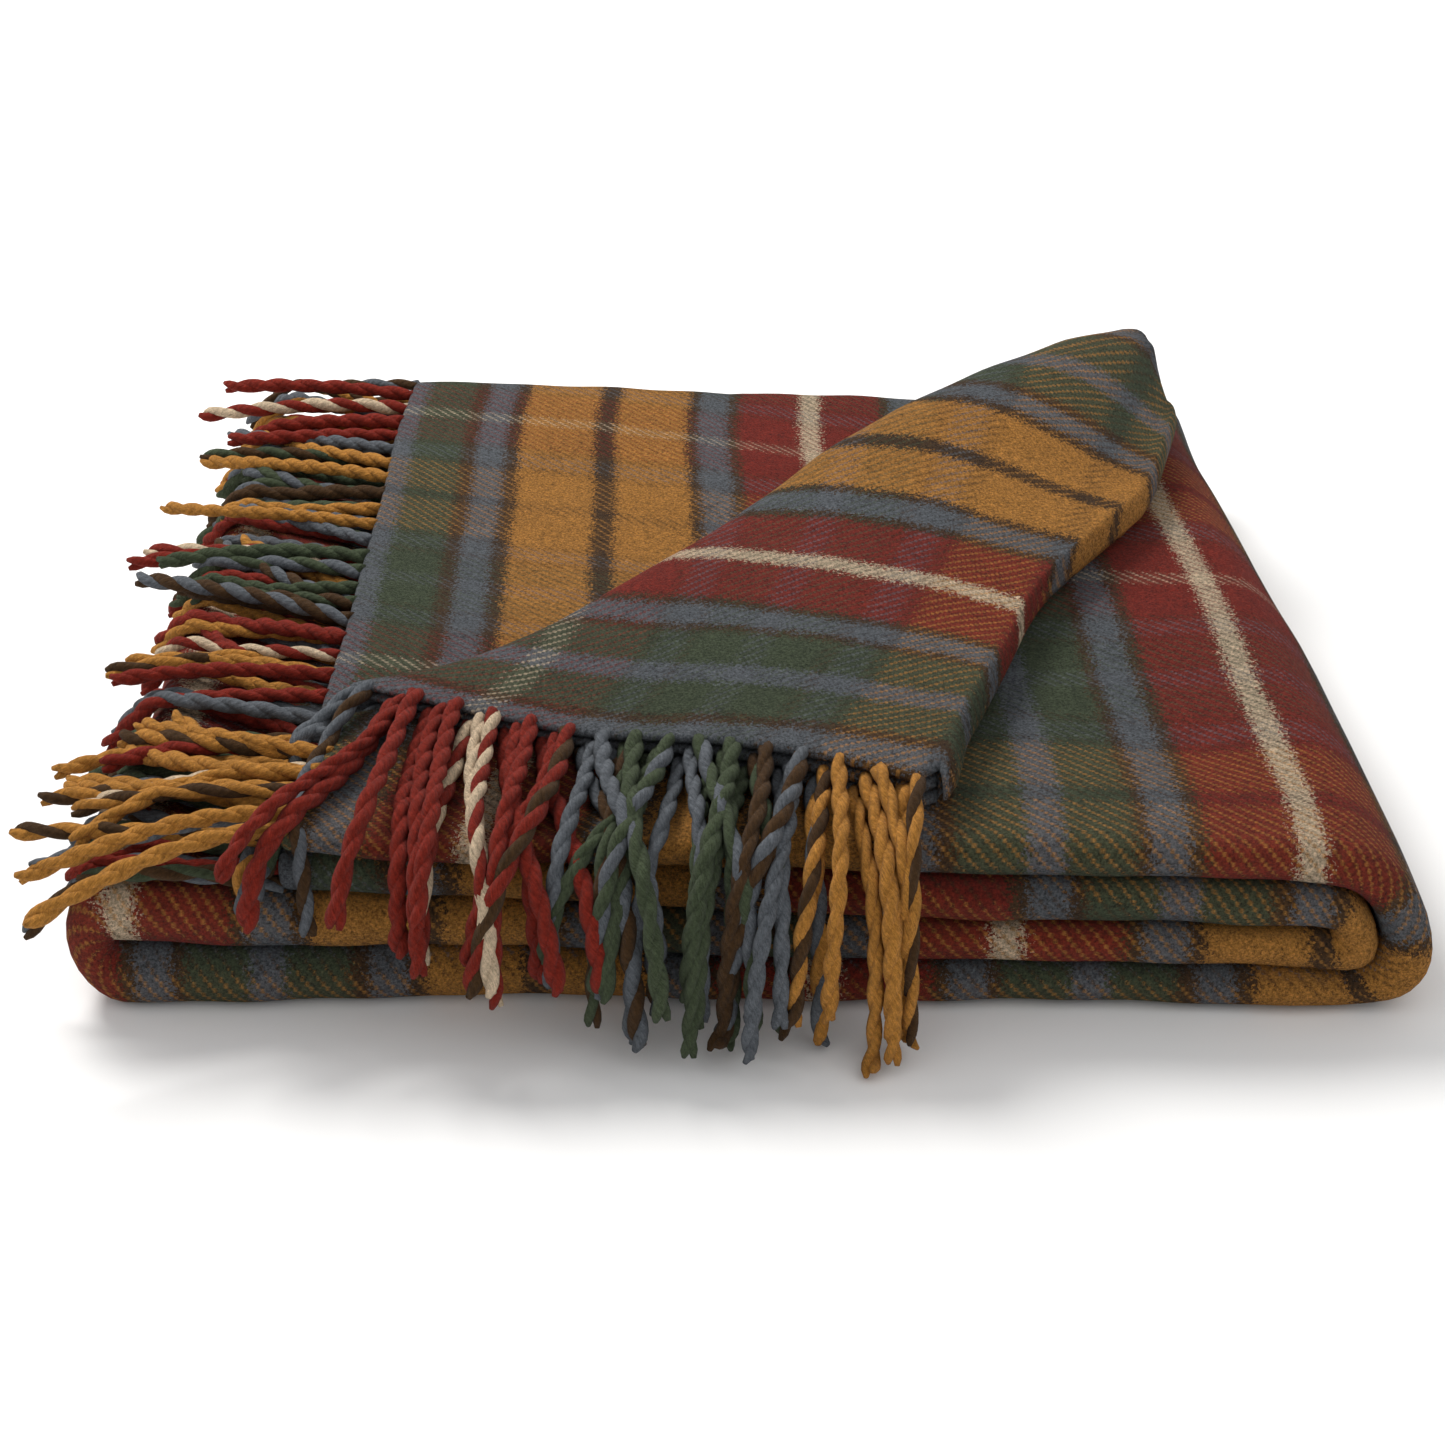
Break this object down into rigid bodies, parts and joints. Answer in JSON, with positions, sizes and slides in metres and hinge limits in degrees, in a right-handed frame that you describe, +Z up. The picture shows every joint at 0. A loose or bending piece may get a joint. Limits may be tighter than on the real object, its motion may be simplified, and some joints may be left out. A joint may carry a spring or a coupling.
{
  "type": "folded throw blanket",
  "caption": "Tartan wool throw with a twisted fringe, folded into a square stack of leaves with one corner turned over in a soft roll.",
  "frame": {"origin": "middle of the underside of the bottom leaf", "axes": "+Z up out of the stack, +X towards the wrapped right fold, +Y towards the back"},
  "size_m": [0.479, 0.4576, 0.1163],
  "materials": {
    "wool_green": "soft brushed wool twill",
    "wool_red": "soft brushed wool twill",
    "wool_mustard": "soft brushed wool twill",
    "wool_blue": "soft brushed wool twill",
    "wool_cream": "soft brushed wool twill",
    "wool_brown": "soft brushed wool twill"
  },
  "bodies": {
    "lower_half": {"bottom_leaf": "wool_brown", "third_leaf": "wool_red", "left_fold": "wool_red", "inner_right_fold": "wool_mustard", "outer_right_fold": "wool_blue"},
    "upper_half": {"second_leaf": "wool_mustard", "top_leaf": "wool_green", "side_tassels_01": "wool_mustard", "side_tassels_02": "wool_mustard", "side_tassels_03": "wool_mustard", "side_tassels_04": "wool_mustard", "side_tassels_05": "wool_mustard", "side_tassels_06": "wool_mustard", "side_tassels_07": "wool_mustard", "side_tassels_08": "wool_mustard", "side_tassels_09": "wool_mustard", "side_tassels_10": "wool_mustard", "side_tassels_11": "wool_mustard", "side_tassels_12": "wool_mustard", "side_tassels_13": "wool_mustard", "side_tassels_14": "wool_mustard", "side_tassels_15": "wool_mustard", "side_tassels_16": "wool_mustard", "side_tassels_17": "wool_mustard", "side_tassels_18": "wool_mustard", "side_tassels_19": "wool_mustard", "side_tassels_20": "wool_mustard", "side_tassels_21": "wool_mustard", "side_tassels_22": "wool_mustard", "side_tassels_23": "wool_mustard", "side_tassels_24": "wool_mustard", "side_tassels_25": "wool_mustard", "side_tassels_26": "wool_mustard", "side_tassels_27": "wool_mustard", "corner_tassels_01": "wool_red", "corner_tassels_02": "wool_red", "corner_tassels_03": "wool_red", "corner_tassels_04": "wool_red", "corner_tassels_05": "wool_red", "corner_tassels_06": "wool_red"},
    "turned_corner": {"corner_flap": "wool_green", "corner_roll": "wool_red", "flap_tassels_01": "wool_blue", "flap_tassels_02": "wool_blue", "flap_tassels_03": "wool_blue", "flap_tassels_04": "wool_blue", "flap_tassels_05": "wool_blue", "flap_tassels_06": "wool_blue", "flap_tassels_07": "wool_blue", "flap_tassels_08": "wool_blue", "flap_tassels_09": "wool_blue", "flap_tassels_10": "wool_blue", "flap_tassels_11": "wool_blue", "flap_tassels_12": "wool_blue", "flap_tassels_13": "wool_blue", "flap_tassels_14": "wool_blue", "flap_tassels_15": "wool_blue", "roll_tassels_01": "wool_cream", "roll_tassels_02": "wool_cream", "roll_tassels_03": "wool_cream"}
  },
  "joints": [
    {"name": "upper_half_open", "type": "hinge", "parent": "lower_half", "child": "upper_half", "pos_m": [0.1915, 0, 0.037], "axis": [0, 1, 0], "range_deg": [0, 90], "deforming": ["inner_right_fold", "outer_right_fold"]},
    {"name": "corner_turn_back", "type": "hinge", "parent": "upper_half", "child": "turned_corner", "pos_m": [-0.146, -0.123, 0.0751], "axis": [-0.7638, -0.6455, 0], "range_deg": [0, 90], "deforming": ["corner_roll"]}
  ]
}
